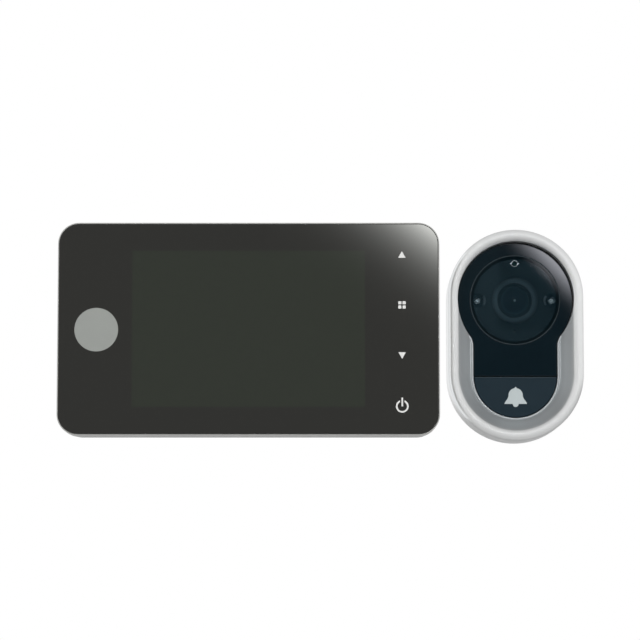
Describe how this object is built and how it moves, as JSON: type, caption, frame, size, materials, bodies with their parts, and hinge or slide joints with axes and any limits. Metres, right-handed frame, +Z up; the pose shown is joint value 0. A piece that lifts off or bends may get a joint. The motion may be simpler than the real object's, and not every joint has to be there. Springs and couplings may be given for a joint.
{
  "type": "peephole door camera",
  "caption": "Stadium-shaped doorbell camera with a keyhole black front and hollow threaded barrel, beside its flat rectangular indoor monitor on a hooked door bracket.",
  "frame": {"origin": "the camera barrel's axis where it meets the door plane", "axes": "+Y along the barrel into the door, +Z up, +X right as seen from the front; both units face -Y"},
  "size_m": [0.1908, 0.0765, 0.0785],
  "materials": {
    "satin_silver": "satin silver paint on die-cast zinc",
    "frame_silver": "satin silver paint",
    "gloss_black": "polished black acrylic",
    "smoked_window": "smoked polycarbonate, polished",
    "tinted_glass": "dark tinted float glass, polished",
    "satin_black": "finely textured black plastic",
    "pale_print": "pale print",
    "badge_grey": "plain grey, satin",
    "black_film": "black print",
    "adhesive_tape": "foam tape",
    "foam_grey": "closed cell foam",
    "housing_grey": "moulded dark ABS with spark texture",
    "inner_black": "matt black plastic",
    "lens_glass": "coated lens glass",
    "led_resin": "clear epoxy resin",
    "bright_bezel": "bright plated",
    "circuit_board": "green solder mask",
    "chip_black": "moulded epoxy",
    "tinned_steel": "tinned sheet",
    "zinc_steel": "zinc plated steel",
    "nickel_brass": "nickel plated brass",
    "socket_white": "natural nylon",
    "screen_grey": "unlit picture panel",
    "light_plate": "white acrylic",
    "cell_sleeve": "printed sleeve, plain",
    "speaker_black": "paper cone in a plastic basket"
  },
  "bodies": {
    "camera_and_bracket": {"camera_housing": "satin_silver", "front_panel": "gloss_black", "lens_window": "smoked_window", "window_tape": "adhesive_tape", "switch_body": "chip_black", "lens_shroud": "inner_black", "lens_ring": "inner_black", "lens_barrel": "inner_black", "lens_elements": "lens_glass", "image_sensor": "chip_black", "camera_board": "circuit_board", "infrared_leds": "led_resin", "light_sensor": "led_resin", "sensor_bezel": "bright_bezel", "microphone": "tinned_steel", "ribbon_connector": "socket_white", "board_screws": "zinc_steel", "back_plate": "housing_grey", "rear_gasket": "foam_grey", "camera_screws": "zinc_steel", "viewer_barrel": "nickel_brass", "barrel_washer": "zinc_steel", "barrel_nut": "nickel_brass", "door_bracket": "zinc_steel", "bracket_pads": "foam_grey"},
    "monitor": {"front_glass": "tinted_glass", "glass_mask": "black_film", "badge_disc": "badge_grey", "key_icons": "pale_print", "glass_tape": "adhesive_tape", "monitor_frame": "frame_silver", "lcd_panel": "screen_grey", "lcd_backlight": "light_plate", "lcd_frame": "tinned_steel", "touch_board": "circuit_board", "main_board": "circuit_board", "board_chips": "chip_black", "ribbon_socket": "socket_white", "card_socket": "tinned_steel", "usb_socket": "tinned_steel", "speaker": "speaker_black", "rear_housing": "housing_grey", "battery_cells": "cell_sleeve", "battery_springs": "tinned_steel", "battery_plates": "tinned_steel", "housing_screws": "zinc_steel"},
    "doorbell_button": {"doorbell_button": "satin_black", "bell_icon": "pale_print"},
    "switch_plunger": {"switch_plunger": "inner_black"},
    "battery_cover": {"battery_cover": "housing_grey"},
    "memory_card": {"memory_card": "chip_black"}
  },
  "joints": [
    {"name": "button_press", "type": "slide", "parent": "camera_and_bracket", "child": "doorbell_button", "axis": [0, 1, 0], "range_m": [0, 0.0005], "stiffness_N_per_m": 1200},
    {"name": "plunger_press", "type": "slide", "parent": "camera_and_bracket", "child": "switch_plunger", "axis": [0, 1, 0], "range_m": [0, 0.0005]},
    {"name": "monitor_lift", "type": "slide", "parent": "camera_and_bracket", "child": "monitor", "axis": [0, 0, 1], "range_m": [0, 0.006]},
    {"name": "cover_slide", "type": "slide", "parent": "monitor", "child": "battery_cover", "axis": [0, 0, -1], "range_m": [0, 0.0355]},
    {"name": "card_slide", "type": "slide", "parent": "monitor", "child": "memory_card", "axis": [-1, 0, 0], "range_m": [0, 0.0145]}
  ],
  "couplings": [
    {"joint": "plunger_press", "follows": "button_press", "ratio": 1}
  ]
}
